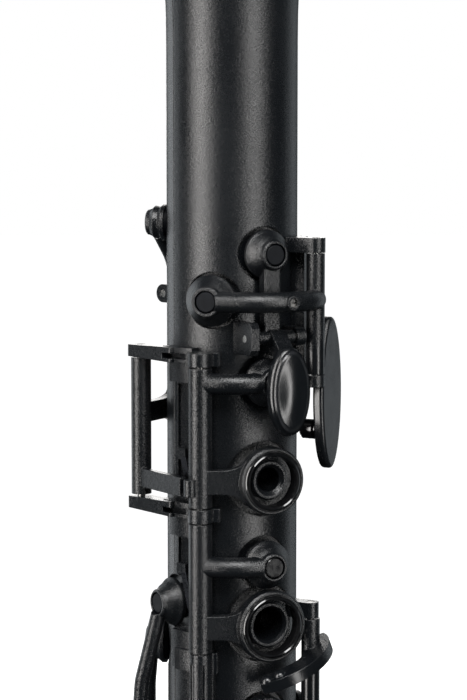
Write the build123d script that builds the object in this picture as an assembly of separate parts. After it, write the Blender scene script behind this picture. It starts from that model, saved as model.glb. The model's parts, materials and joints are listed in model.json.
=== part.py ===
"""A student clarinet in moulded black plastic, standing on its bell.

+Z runs up the bore from the bell's rim, -Y is the front of the instrument (the finger holes) and -X is the
player's right hand side. Sizes are millimetres. A place on the tube is given by an angle round the bore from the
front, positive towards +X, a height z and a radius from the bore's axis.
"""

from build123d import *
import os
from math import cos, hypot, radians, sin, tan

os.makedirs("parts", exist_ok=True)

# ---- driving dimensions -------------------------------------------------------------------------------------
TUBE_R = 14.0          # outside of both joints
BORE_R = 7.4
BELL_TOP = 100.0       # the bell's socket rim
BELL_RIM_R = 38.5
JOINT_Z = 332.0        # where the two joints meet
UPPER_TOP = 552.0      # the upper joint's flared socket rim
BARREL_TOP = 596.0
TIP_Z = 672.0          # the mouthpiece's tip
TENON_R = 11.2
TENON_LENGTH = 16.0
FIT_GAP = 0.15         # between a tenon and its socket
SEAM_W, SEAM_DEPTH = 0.3, 0.2

LH1_Z, LH2_Z, LH3_Z = 430.0, 399.0, 377.6          # left hand finger holes
LH1_PAD_Z, LH2_PAD_Z = 450.7, 411.9
THUMB_Z = 442.7
A_Z, G_SHARP_Z, REGISTER_Z = 477.5, 467.8, 483.3
RH_Z = (290.0, 266.0, 240.0)                        # right hand finger holes
RH_PAD_Z = 304.5
LOW_F_Z, LOW_E_Z, A_FLAT_Z = 214.0, 168.0, 160.0      # the little finger keys

HINGE_PSI, HINGE_R = -51.5, 17.3                    # hinge line of the ring keys
THUMB_HINGE_PSI, THUMB_HINGE_R = -114.5, 19.6
G_HINGE_PSI, G_HINGE_R = 31.0, 20.3
RING_TRAVEL = 5.0                                   # degrees from open to closed
ROD_R, ROD_BORE_R = 0.8, 0.86                       # steel pivot rods and their running bores
TUBE_HINGE_R = 2.5
CLEAR = 0.35                                        # between a moving piece and its neighbours
SEAT_GAP = 0.15                                     # between a closed pad and its seat
HEAD_R = 18.8                                       # outer face of a closed pad cup
STEM_R, STEM_HOLE_R = 2.15, 2.4
SEAT_R = 13.4                                       # radius of the tone hole seats from the bore's axis


# ---- construction helpers -----------------------------------------------------------------------------------
def polar(r, psi, z):
    a = radians(psi)
    return Vector(r * sin(a), -r * cos(a), z)


def spot(psi, z, r=0.0):
    """Plane whose normal points radially out, x round the tube and y up."""
    a = radians(psi)
    return Plane(origin=polar(r, psi, z), x_dir=(cos(a), sin(a), 0), z_dir=(sin(a), -cos(a), 0))


def turned(profile, plane=Plane.XY):
    """Solid of revolution about the plane's normal, from (radius, height) corners."""
    face = make_face(Polyline([(r, 0, h) for r, h in profile], close=True))
    return plane * revolve(face, Axis.Z)


def disc(plane, r, low, high):
    """Cylinder along the plane's normal, its seam turned clear of the seams of what it meets."""
    rod = Cylinder(r, high - low, align=(Align.CENTER, Align.CENTER, Align.MIN))
    return plane * (Pos(0, 0, low) * Rot(0, 0, 23) * rod)


def pipe(p, q, r):
    return Solid.make_cylinder(r, (q - p).length, Plane(origin=p, z_dir=q - p))


def strut(points, r):
    """Round bar along straight runs joined by tangent arcs."""
    if len(points) == 2:
        path = Line(*points)
    else:
        radii = []
        for a, b, c in zip(points, points[1:], points[2:]):
            half_turn = radians((b - a).get_angle(c - b)) / 2
            radii.append(min(14.0, 0.45 * min((b - a).length, (c - b).length) / tan(half_turn)))
        path = FilletPolyline(*points, radius=radii)
    return sweep(Plane(origin=path @ 0, z_dir=path % 0) * Circle(r), path)


def block(plane, x, y, z, edge=0.0):
    """Box between pairs of limits in the plane's own axes, with its edges rounded by edge."""
    box = Pos(sum(x) / 2, sum(y) / 2, sum(z) / 2) * Box(x[1] - x[0], y[1] - y[0], z[1] - z[0])
    if edge:
        box = fillet(box.edges(), edge)
    return plane * box


def upright(psi, r, low, high, radius):
    """Vertical cylinder at a place on the tube."""
    return Pos(polar(r, psi, low)) * Cylinder(radius, high - low, align=(Align.CENTER, Align.CENTER, Align.MIN))


def hinge_axis(psi, r):
    return Axis(polar(r, psi, 0), (0, 0, 1))


def tube_bore(psi, r, low, high):
    return upright(psi, r, low - 1, high + 1, ROD_BORE_R)


def whole(shape):
    """One fused solid; a piece that came apart stops the build."""
    solids = shape.solids()
    assert len(solids) == 1, f"{len(solids)} solids"
    return solids[0]


def write(name, *shapes):
    solids = [s for shape in shapes for s in shape.solids()]
    assert all(s.is_valid for s in solids), name
    export_step(Compound(children=solids), f"parts/{name}.step")
    print(name, len(solids), round(sum(s.volume for s in solids), 1))


# ---- pads, cups, rings and touches --------------------------------------------------------------------------
def pad_cup(psi, z, base=5.1, head=3.0, head_r=HEAD_R):
    """Bell shaped cup over a closed tone hole, with the pad's cavity and the hole for its stem."""
    plane = spot(psi, z)
    foot = SEAT_R + 1.5
    neck = head_r - 1.4
    profile = [(0, foot - 0.5), (base, foot - 0.5), (base, foot + 0.3), (base - 0.5, foot + 0.9),
               (head + 0.9, neck - 0.5), (head + 0.25, neck + 0.3), (head, neck + 1.0), (head, head_r - 0.25),
               (head - 0.25, head_r), (0, head_r)]
    cup = turned(profile, plane)
    cup -= disc(plane, base - 0.7, foot - 1, foot + 0.4)
    return cup - disc(plane, STEM_HOLE_R, foot, head_r + 1)


def pad(psi, z, base=5.1, head_r=HEAD_R):
    """Silicone pad whose stem pushes through its cup and shows as the round button on top."""
    foot = SEAT_R + 1.5
    profile = [(0, SEAT_R + SEAT_GAP), (base - 1.1, SEAT_R + SEAT_GAP), (base - 0.75, SEAT_R + SEAT_GAP + 0.35),
               (base - 0.75, foot + 0.4), (STEM_R, foot + 0.4), (STEM_R, head_r - 0.3), (STEM_R - 0.2, head_r - 0.1),
               (0, head_r - 0.1)]
    return turned(profile, spot(psi, z))


def bored_cup(key, psi, z, cavity):
    """Opens the stem hole and the pad's cavity after an arm has been joined to the cup."""
    plane = spot(psi, z)
    return key - disc(plane, STEM_HOLE_R, SEAT_R + 1.0, 30) - disc(plane, cavity, SEAT_R - 2, SEAT_R + 1.9)


def finger_ring(psi, z, r, outer, inner, tilt=0.0):
    """Key ring round a chimney; tilt leans its face back towards the hinge."""
    plane = spot(psi, z, r) * Rot(0, -tilt, 0)
    band = turned([(inner, -3.0), (outer - 0.5, -3.0), (outer, -2.5), (outer, -0.35), (outer - 0.35, 0),
                   (inner, 0)], plane)
    return band


def ring_insert(psi, z, r, outer, inner, tilt=0.0):
    """Soft lip pressed into a finger ring: a thin outer bead, a groove and a thick rolled inner bead."""
    plane = spot(psi, z, r) * Rot(0, -tilt, 0)
    wall = outer - inner
    profile = [(inner, -2.7), (outer, -2.7), (outer, 0.15), (outer - 0.12, 0.3), (outer - 0.34, 0.3),
               (outer - 0.45, -0.1), (inner + wall * 0.62, -0.1), (inner + wall * 0.55, 0.42),
               (inner + wall * 0.36, 0.6), (inner + wall * 0.14, 0.42), (inner, 0.0)]
    return turned(profile, plane)


def blade(p, q, z, height, flare, thickness):
    """Flat arm from p to q in plan, widening smoothly from height to flare where it meets a ring."""
    run = Vector(q.X - p.X, q.Y - p.Y, 0)
    length = run.length
    plane = Plane(origin=(p.X, p.Y, z), x_dir=run, z_dir=run.cross(Vector(0, 0, 1)))
    h, f = height / 2, flare / 2
    top = Spline((length * 0.45, h), (length, f), tangents=[(1, 0), (0.75, 1)])
    bottom = mirror(top, Plane.XZ)
    edge = Polyline((length * 0.45, -h), (0, -h), (0, h), (length * 0.45, h))
    end = Line((length, f), (length, -f))
    face = make_face(Curve() + [top, bottom, edge, end])
    solid = plane * extrude(face, thickness / 2, both=True)
    return solid


def paddle(plane, length, width, thickness, edge=0.6, dish=0.0):
    """Oval finger touch lying in the plane, long way along its y axis, with an optional thumb-sized dish."""
    body = extrude(Ellipse(width / 2, length / 2), thickness)
    body = fillet(body.edges().filter_by(GeomType.ELLIPSE), edge) if edge else body
    if dish:
        half = width / 2 - edge - 0.15
        ball = (half ** 2 + dish ** 2) / (2 * dish)
        stretch = (length / 2 - 1.7 * edge) / half
        body -= Pos(0, 0, thickness - dish + ball) * scale(Sphere(ball), by=(1, stretch, 1))
    return plane * body


# ---- tubes --------------------------------------------------------------------------------------------------
def seams(low, high):
    """Mould parting lines down both sides."""
    cut = None
    for side in (-1, 1):
        groove = Pos(side * (TUBE_R + 2 - SEAM_DEPTH), 0, (low + high) / 2) * Box(4, SEAM_W, high - low)
        cut = groove if cut is None else cut + groove
    return cut


def pocket(psi, z, radius, floor):
    return disc(spot(psi, z), radius, floor, TUBE_R + 6)


def seat(psi, z, radius, floor):
    """Raised ring that a closed pad lands on."""
    return turned([(0, floor - 1), (radius + 1.2, floor - 1), (radius + 1.2, floor), (radius + 0.6, SEAT_R),
                   (0, SEAT_R)], spot(psi, z))


def chimney(psi, z, outer, top):
    """Raised finger hole: bevelled round its mouth."""
    return turned([(0, 9.5), (outer, 9.5), (outer, top - 0.4), (outer - 0.4, top), (0, top)], spot(psi, z))


def tone_hole(psi, z, radius):
    return disc(spot(psi, z), radius, 0, TUBE_R + 8)


def countersink(psi, z, hole, top, outer):
    return turned([(0, top - 0.9), (hole, top - 0.9), (outer - 0.9, top), (outer - 0.9, top + 1), (0, top + 1)],
                  spot(psi, z))


CLOSED_HOLES = [  # angle, height, pocket radius, hole radius, of the holes under pads
    (0, A_Z, 5.8, 2.3), (-46, G_SHARP_Z, 6.0, 2.3), (0, LH1_PAD_Z, 5.9, 2.6), (0, LH2_PAD_Z, 5.9, 2.6),
    (-134, REGISTER_Z, 4.9, 1.2), (-88, 402.6, 5.8, 2.6), (-128, 392.0, 5.8, 2.6), (76, 375.0, 5.8, 2.6),
    (4, 352.0, 5.8, 2.8)]
FINGER_HOLES = [  # angle, height, pocket radius, chimney radius, chimney top, hole radius
    (0, LH1_Z, 8.0, 4.3, 16.6, 2.6), (0, LH2_Z, 8.4, 4.95, 16.6, 3.6), (0, LH3_Z, 6.6, 5.6, 15.6, 3.4),
    (180, THUMB_Z, 8.0, 4.2, 16.6, 2.8)]
LOWER_CLOSED = [
    (0, RH_PAD_Z, 5.9, 2.8), (74, 253.0, 5.9, 2.8), (0, LOW_F_Z, 7.6, 4.6), (0, LOW_E_Z, 7.6, 4.6),
    (-134, LOW_F_Z, 7.6, 4.6), (-134, A_FLAT_Z, 7.6, 4.6)]
LOWER_FINGER = [(0, z, 8.2, 4.6, 16.6, hole) for z, hole in zip(RH_Z, (3.5, 4.0, 3.2))]


def drilled(tube, closed, fingers):
    for psi, z, radius, hole in closed:
        floor = 12.4 if radius < 7 else 11.4
        tube = tube - pocket(psi, z, radius, floor) + seat(psi, z, hole, floor)
    for psi, z, radius, outer, top, hole in fingers:
        tube = tube - pocket(psi, z, radius, 11.6) + chimney(psi, z, outer, top)
    for psi, z, radius, hole in closed:
        tube -= tone_hole(psi, z, hole)
    for psi, z, radius, outer, top, hole in fingers:
        tube = tube - tone_hole(psi, z, hole) - countersink(psi, z, hole, top, outer)
    return tube


def upper_joint():
    flare = Spline((TUBE_R, 0, 522.0), (TUBE_R + 0.45, 0, 536.0), (TUBE_R + 2.2, 0, 550.5),
                   tangents=[(0, 0, 1), (0.14, 0, 1)])
    rim_r = TUBE_R + 2.2
    rim = Line(flare @ 1, (rim_r, 0, UPPER_TOP - 0.8))
    lip = Polyline(rim @ 1, (rim_r - 0.8, 0, UPPER_TOP), (0, 0, UPPER_TOP), (0, 0, JOINT_Z - TENON_LENGTH),
                   (TENON_R, 0, JOINT_Z - TENON_LENGTH), (TENON_R, 0, JOINT_Z), (TUBE_R - 0.4, 0, JOINT_Z),
                   (TUBE_R, 0, JOINT_Z + 0.4), flare @ 0)
    tube = revolve(make_face(Curve() + [flare, rim, lip]), Axis.Z)
    tube -= seams(JOINT_Z + 1, UPPER_TOP)
    tube = drilled(tube, CLOSED_HOLES, FINGER_HOLES)
    tube -= disc(Plane.XY, BORE_R, 0, 700)
    tube -= disc(Plane.XY, TENON_R + FIT_GAP, UPPER_TOP - TENON_LENGTH - 0.4, 700)
    for z in O_RING_STEPS:
        tube -= turned([(TENON_R - 0.9, JOINT_Z - z - 0.7), (TENON_R + 1, JOINT_Z - z - 0.7),
                        (TENON_R + 1, JOINT_Z - z + 0.7), (TENON_R - 0.9, JOINT_Z - z + 0.7)])
    for low, high in SPRING_SLOTS:
        tube -= block(spot(SLOT_PSI, 0), (-1.9, 1.9), (low, high), (13.1, 20))
    for z in SPRING_TABS:
        tube += block(spot(SLOT_PSI, z), (-1.3, 1.5), (-1.2, 1.2), (12.5, 15.0))
    return whole(tube)


O_RING_STEPS = (5.0, 10.5)
SLOT_PSI = -76.0
SPRING_SLOTS = [(426.5, 449.8), (398.0, 416.8)]
SPRING_TABS = (435.0, 410.2)


def lower_joint():
    profile = [(0, BELL_TOP - TENON_LENGTH), (TENON_R, BELL_TOP - TENON_LENGTH), (TENON_R, BELL_TOP),
               (TUBE_R - 0.4, BELL_TOP), (TUBE_R, BELL_TOP + 0.4), (TUBE_R, 313.5), (TUBE_R + 0.9, 315.0),
               (TUBE_R + 1.1, 316.5), (TUBE_R + 1.1, JOINT_Z - 0.8), (TUBE_R + 0.4, JOINT_Z), (0, JOINT_Z)]
    tube = turned(profile)
    tube -= seams(BELL_TOP + 1, 313.0)
    tube = drilled(tube, LOWER_CLOSED, LOWER_FINGER)
    tube -= disc(Plane.XY, BORE_R, 0, 700)
    tube -= disc(Plane.XY, TENON_R + FIT_GAP, JOINT_Z - TENON_LENGTH - 0.4, 700)
    for z in O_RING_STEPS:
        tube -= turned([(TENON_R - 0.9, BELL_TOP - z - 0.7), (TENON_R + 1, BELL_TOP - z - 0.7),
                        (TENON_R + 1, BELL_TOP - z + 0.7), (TENON_R - 0.9, BELL_TOP - z + 0.7)])
    return whole(tube)


def bell():
    outer = Spline((17.3, 0, 78.0), (17.6, 0, 62.0), (20.5, 0, 38.0), (29.5, 0, 14.0), (BELL_RIM_R - 1.2, 0, 4.5),
                   tangents=[(-0.05, 0, -1), (1, 0, -0.75)])
    inner = Spline((11.0, 0, 70.0), (12.0, 0, 52.0), (16.2, 0, 32.0), (25.0, 0, 12.0), (BELL_RIM_R - 4.4, 0, 0.8),
                   tangents=[(0, 0, -1), (1, 0, -0.75)])
    rim = Spline(outer @ 1, (BELL_RIM_R, 0, 2.0), (BELL_RIM_R - 1.4, 0, 0), tangents=[(1, 0, -0.75), (-1, 0, 0)])
    foot = Line(rim @ 1, (BELL_RIM_R - 3.2, 0, 0))
    lip = Line(foot @ 1, inner @ 1)
    top = Polyline(inner @ 0, (11.0, 0, 83.2), (TENON_R + FIT_GAP, 0, 83.2), (TENON_R + FIT_GAP, 0, BELL_TOP),
                   (17.1, 0, BELL_TOP), (17.9, 0, BELL_TOP - 0.8), (17.9, 0, BELL_TOP - 7), (17.3, 0, BELL_TOP - 8),
                   outer @ 0)
    return whole(revolve(make_face(Curve() + [outer, rim, foot, lip, inner, top]), Axis.Z))


def barrel():
    side = Spline((16.2, 0, UPPER_TOP + 0.9), (15.0, 0, 568.0), (15.1, 0, 580.0), (16.9, 0, BARREL_TOP - 5.5),
                  tangents=[(-0.14, 0, 1), (0.14, 0, 1)])
    rest = Polyline(side @ 1, (17.2, 0, BARREL_TOP - 5), (17.2, 0, BARREL_TOP - 0.8), (16.4, 0, BARREL_TOP),
                    (TENON_R, 0, BARREL_TOP), (TENON_R, 0, BARREL_TOP - TENON_LENGTH),
                    (BORE_R, 0, BARREL_TOP - TENON_LENGTH), (BORE_R, 0, UPPER_TOP - TENON_LENGTH + 0.2),
                    (TENON_R, 0, UPPER_TOP - TENON_LENGTH + 0.2), (TENON_R, 0, UPPER_TOP + 0.1),
                    (15.4, 0, UPPER_TOP + 0.1), side @ 0)
    tube = revolve(make_face(Curve() + [side, rest]), Axis.Z)
    for z in O_RING_STEPS:
        tube -= turned([(TENON_R - 0.9, UPPER_TOP - z - 0.7), (TENON_R + 1, UPPER_TOP - z - 0.7),
                        (TENON_R + 1, UPPER_TOP - z + 0.7), (TENON_R - 0.9, UPPER_TOP - z + 0.7)])
    return whole(tube)


def tenon_seals():
    """O-rings of the four push-fit joints."""
    rings = []
    for top, wall in ((UPPER_TOP, TENON_R), (JOINT_Z, TENON_R), (BELL_TOP, TENON_R),
                      (BARREL_TOP, TENON_R - FIT_GAP)):
        for z in O_RING_STEPS:
            rings.append(Pos(0, 0, top - z) * Torus(wall - 0.4, 0.48))
    return rings


# ---- mouthpiece ---------------------------------------------------------------------------------------------
TABLE_Y = 9.6


def mouthpiece():
    tenon = TENON_R - FIT_GAP
    base = BARREL_TOP - TENON_LENGTH + 0.3
    side = Spline((14.6, 0, BARREL_TOP + 8.5), (13.6, 0, 625.0), (11.6, 0, TIP_Z), tangents=[(-0.02, 0, 1), (-0.08, 0, 1)])
    rest = Polyline(side @ 1, (0, 0, TIP_Z), (0, 0, base), (tenon, 0, base), (tenon, 0, BARREL_TOP + 0.1),
                    (15.0, 0, BARREL_TOP + 0.1), (15.5, 0, BARREL_TOP + 0.6), (15.5, 0, BARREL_TOP + 7),
                    (15.0, 0, BARREL_TOP + 7.8), side @ 0)
    body = revolve(make_face(Curve() + [side, rest]), Axis.Z)
    for z in O_RING_STEPS:
        body -= turned([(tenon - 0.9, BARREL_TOP - z - 0.7), (tenon + 1, BARREL_TOP - z - 0.7),
                        (tenon + 1, BARREL_TOP - z + 0.7), (tenon - 0.9, BARREL_TOP - z + 0.7)])
    beak = make_face(Polyline((0, -20, 632), (0, -12.6, 632), (0, -4.0, 651), (0, 4.0, 664), (0, TABLE_Y - 1.1, TIP_Z),
                              (0, TABLE_Y, TIP_Z + 4), (0, -20, TIP_Z + 4), close=True))
    body -= Pos(-20, 0, 0) * extrude(beak, amount=40, dir=(1, 0, 0))
    body -= Pos(0, TABLE_Y + 10, (604.5 + TIP_Z) / 2 + 10) * Box(40, 20, TIP_Z - 604.5 + 20)
    for side_x in (-1, 1):
        cheek = make_face(Polyline((side_x * 13.5, 0, 640), (side_x * 6.4, 0, TIP_Z + 1), (side_x * 20, 0, TIP_Z + 1),
                                   (side_x * 20, 0, 640), close=True))
        body -= Pos(0, -20, 0) * extrude(cheek, amount=40, dir=(0, 1, 0))
    body -= disc(Plane.XY, BORE_R, base - 1, 628)
    chamber = make_face(Polyline((0, -7.0, 627), (0, 3.4, 655), (0, 8.2, 668.5), (0, TABLE_Y + 1, 668.5),
                                 (0, TABLE_Y + 1, 637), (0, 4.5, 627), close=True))
    body -= Pos(-4.6, 0, 0) * extrude(chamber, amount=9.2, dir=(1, 0, 0))
    return whole(body)


def reed():
    heel, tip = 605.5, TIP_Z - 0.3
    y = TABLE_Y + 0.02
    outline = make_face(Polyline((0, y, heel), (0, y + 2.9, heel), (0, y + 3.1, 636), (0, y + 0.35, tip), (0, y, tip),
                                 close=True))
    wedge = Pos(-6.5, 0, 0) * extrude(outline, amount=13, dir=(1, 0, 0))
    crown = Pos(0, 0, 0) * Cylinder(13.0, 200, align=(Align.CENTER, Align.CENTER, Align.MIN))
    return whole(wedge & (Pos(0, y + 3.1 - 12.6, 560) * crown))


LIGATURE_Z = (607.5, 628.5)


def ligature():
    """Moulded band round the mouthpiece and reed, split and lugged on the reed side."""
    low, high = LIGATURE_Z
    inner = Ellipse(14.75, 14.95)
    outer = Ellipse(16.2, 16.4)
    band = Pos(0, 0.35, low) * extrude(outer - inner, high - low)
    band -= Pos(0, 18, (low + high) / 2) * Box(2.4, 12, high - low + 2)
    for x in (-1, 1):
        lug = block(Plane.XY, (x * 1.3 if x > 0 else -4.3, 4.3 if x > 0 else -1.3), (14.9, 21.5), (low + 1, high - 1), 0.5)
        band += lug
    for z in SCREW_HEIGHTS:
        band -= Pos(0, 19.2, z) * Rot(0, 90, 0) * Cylinder(1.1, 30)
    return band


SCREW_HEIGHTS = (612.5, 623.5)


def ligature_screws():
    screws = []
    for z in SCREW_HEIGHTS:
        head = Pos(6.9, 19.2, z) * Rot(0, 90, 0) * Cylinder(2.9, 4.6)
        for k in range(10):
            head -= Pos(6.9, 19.2, z) * Rot(36 * k, 0, 0) * Pos(0, 3.1, 0) * Rot(0, 90, 0) * Cylinder(0.55, 6)
        shank = Pos(0.2, 19.2, z) * Rot(0, 90, 0) * Cylinder(1.02, 9.6)
        screws.append(whole(head + shank))
    return screws


# ---- brackets, posts and rods -------------------------------------------------------------------------------
def wedge_sector(psi_a, psi_b, r_in, r_out, low, high):
    """Block hugging the tube between two angles."""
    ring = Circle(r_out) - Circle(r_in)
    far = 60
    a, b = radians(psi_a), radians(psi_b)
    middle = (a + b) / 2
    sector = make_face(Polyline((0, 0), (far * sin(a), -far * cos(a)), (1.6 * far * sin(middle), -1.6 * far * cos(middle)),
                                (far * sin(b), -far * cos(b)), close=True))
    return Pos(0, 0, low) * extrude(ring & sector, high - low)


def saddle(low):
    """Moulded bracket that carries the ring keys' rod in front and the thumb key's rod at its side."""
    high, bar_low, bar_high = low + 2.9, low + 0.7, low + 3.2
    body = wedge_sector(-64, -38, TUBE_R + 0.02, 16.6, low, high)
    body += wedge_sector(-92, -60, TUBE_R + 0.02, 16.4, low + 0.3, low + 3.6)
    body += upright(HINGE_PSI, HINGE_R, low, high, TUBE_HINGE_R + 0.15)
    body += wedge_sector(-90, -64, TUBE_R + 0.02, 15.2, low - 4.0, low + 1)
    root = polar(15.6, -86, 0)
    tip = polar(THUMB_HINGE_R, THUMB_HINGE_PSI, 0)
    run = tip - root
    plane = Plane(origin=(root.X, root.Y, 0), x_dir=run, z_dir=run.cross(Vector(0, 0, 1)))
    reach = run.length
    inner_low, inner_high = bar_low - 0.35, bar_high + 0.35
    face = make_face(Polyline((-2.5, inner_low), (reach + 2.3, bar_low), (reach + 2.3, bar_high),
                              (-2.5, inner_high), close=True))
    bar = plane * extrude(face, 2.1, both=True)
    body += fillet(bar.edges().filter_by(Axis.Z), 0.7) - disc(Plane.XY, TUBE_R + 0.02, low - 20, high + 20)
    slot_plane = spot(-76, 0)
    body -= block(slot_plane, (-3.0, 3.0), (low + 1.1, low + 2.3), (15.0, 20))
    body -= tube_bore(HINGE_PSI, HINGE_R, low, high)
    body -= tube_bore(THUMB_HINGE_PSI, THUMB_HINGE_R, bar_low, bar_high)
    return whole(body)


def lower_saddle():
    """Ribbed foot that holds the bottom of the left hand rod."""
    low, high = 377.0, 393.2
    body = wedge_sector(-78, -40, TUBE_R + 0.02, 16.3, high - 4.5, high)
    body += upright(HINGE_PSI, HINGE_R - 0.2, low, high, TUBE_HINGE_R - 0.1)
    body += wedge_sector(-60, -43, TUBE_R + 0.02, 16.5, low, high)
    body += wedge_sector(-88, -50, TUBE_R + 0.02, 15.2, high - 4.5, high + 3.6)
    for psi in (-55.5, -47.5):
        body -= block(spot(psi, 0), (-0.35, 0.35), (low - 1, high - 2.2), (18.6, 22))
    body -= upright(HINGE_PSI, HINGE_R, high, high + 4, TUBE_HINGE_R + CLEAR)
    body -= tube_bore(HINGE_PSI, HINGE_R, high - 6, high + 1)
    return whole(body)


SADDLES = (454.2, 421.3)
G_TUBE = (452.0, 477.5)         # hinge tube of the G sharp key
G_POST = (449.3, 480.8)


def g_sharp_bracket():
    """C-shaped bracket: two ears that hold the hinge rod, joined by a web on a base plate."""
    low, high = G_POST
    body = wedge_sector(34, 50, TUBE_R + 0.02, 15.2, low, high)
    body += block(spot(38, 0), (-1.0, 1.0), (low, high), (TUBE_R + 0.1, 17.0))
    for z0, z1 in ((low, G_TUBE[0] - 0.15), (G_TUBE[1] + 0.15, high)):
        body += wedge_sector(26, 42, TUBE_R + 0.02, 17.0, z0, z1)
        body += block(spot(G_HINGE_PSI, 0), (-2.05, 0.7), (z0, z1), (TUBE_R + 0.1, G_HINGE_R))
        body += upright(G_HINGE_PSI, G_HINGE_R, z0, z1, 2.05)
    body -= upright(G_HINGE_PSI, G_HINGE_R, G_TUBE[0] - 3.5, high + 1, ROD_BORE_R)
    return whole(body)


def single_post(psi, r, low, high, radius=2.3):
    """Post that holds the end of a rod lying along the tube."""
    plane = spot(psi, 0)
    body = upright(psi, r, low, high, radius) + block(plane, (-radius, radius), (low, high), (TUBE_R - 2, r))
    body = body - disc(Plane.XY, TUBE_R + 0.02, 0, 700) - tube_bore(psi, r, low, high)
    return whole(body)


# ---- keys that swing about a rod along the tube -------------------------------------------------------------
def hinge_tube(psi, r, low, high, radius=TUBE_HINGE_R):
    return upright(psi, r, low, high, radius)


def cup_arm(hinge, cup_psi, z, radius, reach=17.2):
    """Round arm from a hinge line to the side of a pad cup, arched to clear the tube."""
    start = polar(hinge[1], hinge[0], z)
    end = polar(reach, cup_psi, z)
    middle = (start + end) / 2
    lift = max(reach + 0.4, 17.6) / max(hypot(middle.X, middle.Y), 1)
    bend = Vector(middle.X * lift, middle.Y * lift, z) if lift > 1 else middle
    return strut([start, bend, end], radius)


def ring_key(low, high, pad_z, rings, knuckle=False):
    """Ring key: rings are built open, the pad closed and then swung open with its arm."""
    hinge = (HINGE_PSI, HINGE_R)
    start = polar(HINGE_R + 0.9, HINGE_PSI + 1, 0)
    pivot = hinge_axis(*hinge)
    closed = bored_cup(cup_arm(hinge, 0, pad_z, 2.2) + pad_cup(0, pad_z), 0, pad_z, 4.4)
    key = closed.rotate(pivot, -RING_TRAVEL)
    for z, outer, inner in rings:
        end = polar(16.9, -19, 0)
        arm = blade(start, end, z, 5.0, 9.2, 2.4)
        arm -= disc(spot(RING_PSI, z, RING_TOP) * Rot(0, -RING_TILT, 0), outer - 0.3, -8, 4)
        key = key + arm + finger_ring(RING_PSI, z, RING_TOP, outer, inner + 1.15, RING_TILT)
    key += hinge_tube(*hinge, low, high)
    if knuckle:
        key += upright(KNUCKLE_PSI, KNUCKLE_R, 427.0, 430.6, 1.35)
        key += pipe(polar(HINGE_R, HINGE_PSI, 428.8), polar(KNUCKLE_R, KNUCKLE_PSI, 428.8), 1.3)
    return whole(key - tube_bore(*hinge, low, high))


RING_TOP, RING_TILT, RING_PSI = 18.6, 3.0, -1.1
KNUCKLE_PSI, KNUCKLE_R = -55.5, 19.6
LH1_RINGS = [(LH1_Z, 7.15, 5.35)]
LH2_RINGS = [(LH2_Z, 7.6, 5.8)]
RH_RINGS = [(z, 7.4, 5.5) for z in RH_Z]
LH1_TUBE, LH2_TUBE, RH_TUBE = (424.5, 453.9), (393.5, 421.0), (230.3, 308.7)


def swung_pad(pad_z):
    return pad(0, pad_z).rotate(hinge_axis(HINGE_PSI, HINGE_R), -RING_TRAVEL)


def ring_inserts(rings):
    return [ring_insert(RING_PSI, z, RING_TOP, inner + 1.15, inner, RING_TILT) for z, outer, inner in rings]


THUMB_TUBE = (425.1, 454.6)
THUMB_RING = (7.15, 5.6)


def thumb_key():
    """Thumb ring behind the tube, its hinge tube, and the tab that reaches the front ring key."""
    hinge = (THUMB_HINGE_PSI, THUMB_HINGE_R)
    outer, inner = THUMB_RING
    key = hinge_tube(*hinge, *THUMB_TUBE, 2.15)
    arm = blade(polar(THUMB_HINGE_R, THUMB_HINGE_PSI, 0), polar(16.3, -158.5, 0), THUMB_Z, 4.3, 9.0, 2.2)
    key += arm - disc(spot(180, THUMB_Z), outer - 0.3, 10, 30)
    key += finger_ring(180, THUMB_Z, RING_TOP, outer, inner + 1.15)
    root, tip = polar(THUMB_HINGE_R + 0.6, THUMB_HINGE_PSI, TAB_Z), polar(18.9, -61.8, TAB_Z)
    plane = Plane(origin=root, x_dir=tip - root, z_dir=(tip - root).cross(Vector(0, 0, 1)))
    tab = block(plane, (0, (tip - root).length), (-2.0, 2.0), (-0.85, 0.85), 0.15)
    return whole(key + tab - tube_bore(*hinge, *THUMB_TUBE))


TAB_Z = 428.8


def g_sharp_key():
    hinge = (G_HINGE_PSI, G_HINGE_R)
    low, high = G_TUBE
    over = [polar(17.6, -46, G_SHARP_Z), polar(20.4, -14, G_SHARP_Z), polar(21.7, 4, G_SHARP_Z),
            polar(21.4, 22, G_SHARP_Z), polar(G_HINGE_R + 0.2, G_HINGE_PSI, G_SHARP_Z)]
    key = strut(over, 2.15) + pad_cup(-46, G_SHARP_Z, base=5.4, head=3.2)
    key = bored_cup(key, -46, G_SHARP_Z, 4.7)
    key += disc(spot(3.4, G_SHARP_Z), 1.5, 20.5, 23.9)
    key += hinge_tube(*hinge, low, high, 1.95)
    plane = Plane(origin=G_NORMAL * 18.9 + G_ACROSS * 5.4 + Vector(0, 0, 447.4), x_dir=G_ACROSS, z_dir=G_NORMAL)
    key += paddle(plane, 32.6, 9.8, 2.5, 0.75)
    key -= upright(G_HINGE_PSI, G_HINGE_R, G_POST[0] - 0.4, low, 2.05 + CLEAR)
    key -= disc(spot(3.4, G_SHARP_Z), 0.95, 19, 30)
    return whole(key - tube_bore(*hinge, low, high))


G_NORMAL = polar(1, G_HINGE_PSI + 2, 0)
G_ACROSS = Vector(cos(radians(G_HINGE_PSI + 2)), sin(radians(G_HINGE_PSI + 2)), 0)
BUMPER_Z = 439.4


def g_sharp_bumper():
    """Rubber stop pressed on the underside of the G sharp touch."""
    foot = G_ACROSS * 5.0 + Vector(0, 0, BUMPER_Z)
    plane = Plane(origin=foot + G_NORMAL * 14.6, x_dir=G_ACROSS, z_dir=G_NORMAL)
    return turned([(0, 0), (1.8, 0), (2.2, 0.4), (2.2, 2.9), (1.7, 3.3), (1.7, 4.28), (0, 4.28)], plane)


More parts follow.
